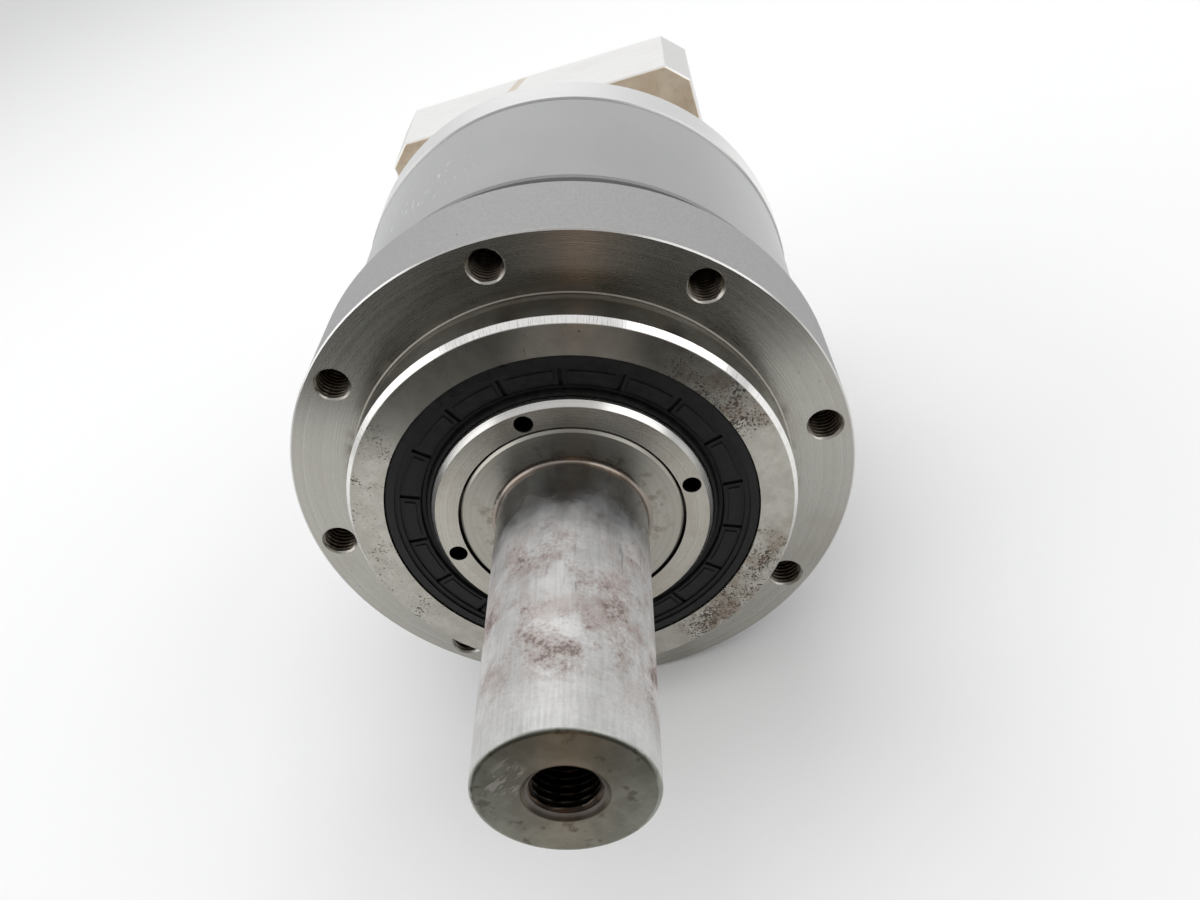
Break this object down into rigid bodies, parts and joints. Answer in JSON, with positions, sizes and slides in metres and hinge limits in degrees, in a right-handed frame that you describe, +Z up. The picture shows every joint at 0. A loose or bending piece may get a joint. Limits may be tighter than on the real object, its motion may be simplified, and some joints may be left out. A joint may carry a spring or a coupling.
{
  "type": "inline planetary gear reducer",
  "caption": "Coaxial planetary gear reducer: round output flange with centring boss, keyless output shaft, cylindrical ring gear housing and square motor adapter with a clamping hub.",
  "frame": {"origin": "centre of the output flange's front face, on the shafts' common axis", "axes": "Y along the common axis: -Y out of the output shaft's end, +Y towards the motor; +Z up; X across; the square adapter's sides are parallel to X and Z"},
  "size_m": [0.154, 0.282, 0.154],
  "materials": {
    "flange_steel": "turned bare metal, lightly stained, under clear protection",
    "grey_paint": "grey satin paint",
    "aluminium": "machined",
    "adapter_aluminium": "machined, clear",
    "shaft_steel": "ground steel with fretting marks",
    "nut_steel": "turned steel",
    "bearing_steel": "polished bearing steel",
    "gear_steel": "case hardened and ground",
    "screw_steel": "black oxide",
    "seal_rubber": "black nitrile",
    "o_ring_rubber": "black nitrile",
    "bronze": "plain bearing bronze",
    "cage_polymer": "glass-filled polyamide",
    "spring_steel": "spring wire"
  },
  "bodies": {
    "reducer_housing": {"output_housing": "flange_steel", "ring_gear_housing": "grey_paint", "input_flange": "aluminium", "coupling_housing": "aluminium", "motor_adapter": "adapter_aluminium", "output_seal": "seal_rubber", "output_seal_spring": "spring_steel", "front_bearing_outer_ring": "bearing_steel", "rear_bearing_outer_ring": "bearing_steel", "input_bearing_outer_ring": "bearing_steel", "input_bearing_circlip": "spring_steel", "input_seal": "seal_rubber", "input_seal_spring": "spring_steel", "housing_screws": "screw_steel", "adapter_screws": "screw_steel", "housing_dowels": "bearing_steel", "housing_o_ring": "o_ring_rubber", "flange_o_ring": "o_ring_rubber", "access_plug": "screw_steel"},
    "output": {"output_shaft": "shaft_steel", "planet_carrier": "gear_steel", "spanner_nut": "nut_steel", "front_bearing_inner_ring": "bearing_steel", "rear_bearing_inner_ring": "bearing_steel", "planet_pins": "bearing_steel", "planet_thrust_washers": "bronze"},
    "input": {"input_shaft": "gear_steel", "input_bearing_inner_ring": "bearing_steel", "input_shaft_circlip": "spring_steel", "clamp_ring": "gear_steel", "clamp_screw": "screw_steel"},
    "planet_1": {"planet_gear_1": "gear_steel", "planet_bush_1": "bronze"},
    "planet_2": {"planet_gear_2": "gear_steel", "planet_bush_2": "bronze"},
    "planet_3": {"planet_gear_3": "gear_steel", "planet_bush_3": "bronze"},
    "front_cage": {"front_bearing_rollers": "bearing_steel", "front_bearing_cage": "cage_polymer"},
    "rear_cage": {"rear_bearing_rollers": "bearing_steel", "rear_bearing_cage": "cage_polymer"},
    "input_cage": {"input_bearing_balls": "bearing_steel", "input_bearing_cage": "cage_polymer"}
  },
  "joints": [
    {"name": "output_spin", "type": "hinge", "parent": "reducer_housing", "child": "output", "pos_m": [0, 0, 0], "axis": [0, 1, 0], "continuous": true},
    {"name": "input_spin", "type": "hinge", "parent": "reducer_housing", "child": "input", "pos_m": [0, 0.1, 0], "axis": [0, 1, 0], "continuous": true},
    {"name": "planet_1_spin", "type": "hinge", "parent": "output", "child": "planet_1", "pos_m": [0, 0.079, 0.03375], "axis": [0, 1, 0], "continuous": true},
    {"name": "planet_2_spin", "type": "hinge", "parent": "output", "child": "planet_2", "pos_m": [-0.02923, 0.079, -0.01688], "axis": [0, 1, 0], "continuous": true},
    {"name": "planet_3_spin", "type": "hinge", "parent": "output", "child": "planet_3", "pos_m": [0.02923, 0.079, -0.01688], "axis": [0, 1, 0], "continuous": true},
    {"name": "front_cage_spin", "type": "hinge", "parent": "reducer_housing", "child": "front_cage", "pos_m": [0, 0.0125, 0], "axis": [0, 1, 0], "continuous": true},
    {"name": "rear_cage_spin", "type": "hinge", "parent": "reducer_housing", "child": "rear_cage", "pos_m": [0, 0.0455, 0], "axis": [0, 1, 0], "continuous": true},
    {"name": "input_cage_spin", "type": "hinge", "parent": "reducer_housing", "child": "input_cage", "pos_m": [0, 0.1095, 0], "axis": [0, 1, 0], "continuous": true}
  ],
  "couplings": [
    {"joint": "input_spin", "follows": "output_spin", "ratio": 5},
    {"joint": "planet_1_spin", "follows": "output_spin", "ratio": -2.6667},
    {"joint": "planet_2_spin", "follows": "output_spin", "ratio": -2.6667},
    {"joint": "planet_3_spin", "follows": "output_spin", "ratio": -2.6667},
    {"joint": "front_cage_spin", "follows": "output_spin", "ratio": 0.4424},
    {"joint": "rear_cage_spin", "follows": "output_spin", "ratio": 0.4424},
    {"joint": "input_cage_spin", "follows": "output_spin", "ratio": 2.1343}
  ]
}
